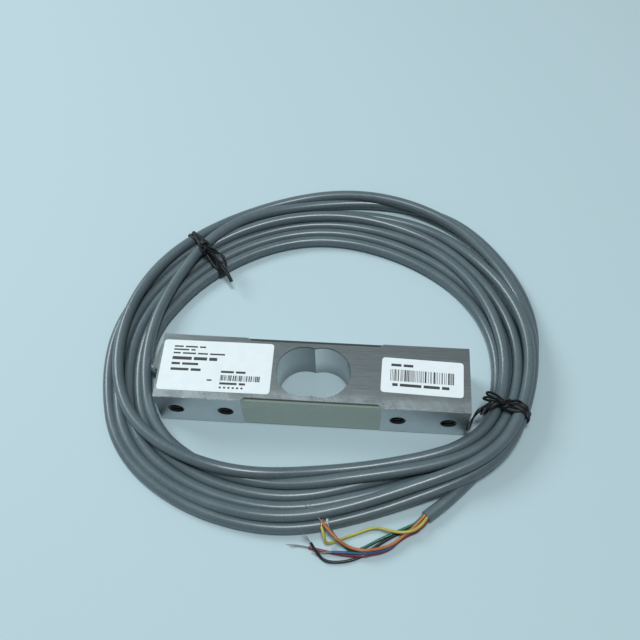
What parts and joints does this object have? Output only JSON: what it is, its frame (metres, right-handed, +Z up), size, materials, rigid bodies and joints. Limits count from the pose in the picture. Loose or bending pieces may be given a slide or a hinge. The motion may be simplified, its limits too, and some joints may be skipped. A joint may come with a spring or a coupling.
{
  "type": "strain gauge load cell",
  "caption": "Single point bending-beam load cell: a drilled aluminium bar with potted strain gauges and tapped ends, lying in its coil of grey signal cable.",
  "frame": {"origin": "middle of the lower side face of the bar, which lies on its side", "axes": "+X along the bar away from the cable, +Y across it towards the coil, +Z up, along the binocular hole"},
  "size_m": [0.1974, 0.1897, 0.0221],
  "materials": {
    "machined_aluminium": "brushed, scuffed",
    "potting_resin": "clear set resin over metal",
    "gauge_foil": "amber carrier film",
    "tinned_copper": "tinned",
    "circuit_board": "green solder mask",
    "resistor_body": "matt",
    "core_insulation": "bundle of thin cores",
    "bore_sealant": "matt",
    "boot_plastic": "moulded",
    "cable_jacket": "soft PVC, semi gloss",
    "tie_strap": "thin black strap",
    "label_paper": "smooth",
    "bare_strands": "twisted strands",
    "yellow_insulation": "thin PVC",
    "orange_insulation": "thin PVC",
    "green_insulation": "thin PVC",
    "black_insulation": "thin PVC",
    "blue_insulation": "thin PVC",
    "red_insulation": "thin PVC"
  },
  "bodies": {
    "root": {"beam": "machined_aluminium", "black_lead": "black_insulation", "black_tip": "bare_strands", "blue_lead": "blue_insulation", "blue_tip": "bare_strands", "bore_seal": "bore_sealant", "cable_boot": "boot_plastic", "cable_coil": "cable_jacket", "cable_exit": "cable_jacket", "cable_tail": "cable_jacket", "core_harness": "core_insulation", "front_bridge_wires": "tinned_copper", "front_left_gauge": "gauge_foil", "front_potting": "potting_resin", "front_right_gauge": "gauge_foil", "front_solder_tabs": "tinned_copper", "green_lead": "green_insulation", "green_tip": "bare_strands", "left_label": "label_paper", "left_tie": "tie_strap", "orange_lead": "orange_insulation", "orange_tip": "bare_strands", "rear_bridge_wires": "tinned_copper", "rear_left_gauge": "gauge_foil", "rear_potting": "potting_resin", "rear_right_gauge": "gauge_foil", "rear_solder_tabs": "tinned_copper", "red_lead": "red_insulation", "red_tip": "bare_strands", "right_label": "label_paper", "right_tie": "tie_strap", "span_resistor": "resistor_body", "trim_board": "circuit_board", "yellow_lead": "yellow_insulation", "yellow_tip": "bare_strands", "zero_resistor": "resistor_body"}
  },
  "joints": []
}
